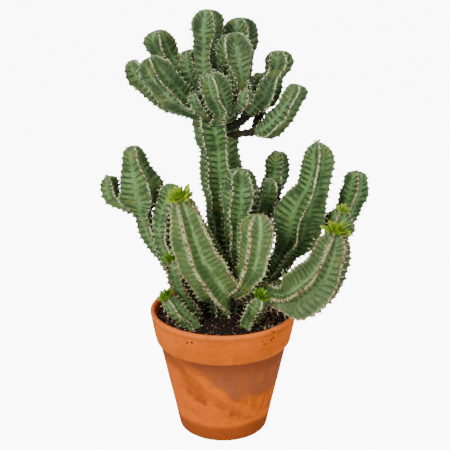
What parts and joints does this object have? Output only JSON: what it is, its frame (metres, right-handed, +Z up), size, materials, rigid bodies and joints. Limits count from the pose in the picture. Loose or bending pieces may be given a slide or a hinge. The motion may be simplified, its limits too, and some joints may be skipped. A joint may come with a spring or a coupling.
{
  "type": "potted euphorbia",
  "caption": "Branching euphorbia with winged, toothed stems, short spines and leaf tufts, standing in soil in a round clay pot with a thick rim.",
  "frame": {"origin": "centre of the pot's flat base, on the surface that it stands on", "axes": "+Z up the plant, the plant's front towards -Y, +X to the right seen from the front"},
  "size_m": [0.4801, 0.2657, 0.749],
  "materials": {
    "clay": "matte, weathered terracotta with paler and purplish patches",
    "soil": "rough dark peat and bark with pale grit",
    "old_stem": "satin blue-green skin with beige corky crests",
    "crown_stem": "satin green skin with beige corky crests",
    "young_stem": "satin yellow-green skin with brown crests",
    "leaf": "satin bright yellow-green"
  },
  "bodies": {
    "root": {"pot": "clay", "soil": "soil", "trunk": "old_stem", "front_left_stem": "young_stem", "front_centre_stem": "young_stem", "trunk_side_stem": "old_stem", "left_outer_stem": "old_stem", "left_outer_offset": "old_stem", "left_inner_stem": "old_stem", "right_tall_stem": "old_stem", "right_back_stem": "old_stem", "right_back_offset": "old_stem", "right_front_stem": "old_stem", "far_right_stem": "old_stem", "far_right_offset": "young_stem", "front_sucker": "young_stem", "left_sucker": "young_stem", "left_mid_sucker": "young_stem", "back_left_stem": "old_stem", "back_right_stem": "old_stem", "back_sucker": "young_stem", "crown_top": "crown_stem", "crown_top_front": "crown_stem", "crown_top_back": "crown_stem", "crown_left_front": "crown_stem", "crown_left_low": "crown_stem", "crown_left_upper": "crown_stem", "crown_left_back": "crown_stem", "crown_right_back": "crown_stem", "crown_front": "crown_stem", "crown_front_left": "crown_stem", "crown_front_bud": "crown_stem", "crown_right_upper": "crown_stem", "crown_right_lower": "crown_stem", "crown_right_bud": "crown_stem", "crown_back": "crown_stem", "crown_back_left": "crown_stem", "crown_back_right": "crown_stem", "front_left_stem_leaves": "leaf", "right_tall_stem_leaves": "leaf", "right_front_stem_leaves": "leaf", "far_right_offset_leaves": "leaf", "front_sucker_leaves": "leaf", "left_sucker_leaves": "leaf", "left_mid_sucker_leaves": "leaf"}
  },
  "joints": []
}
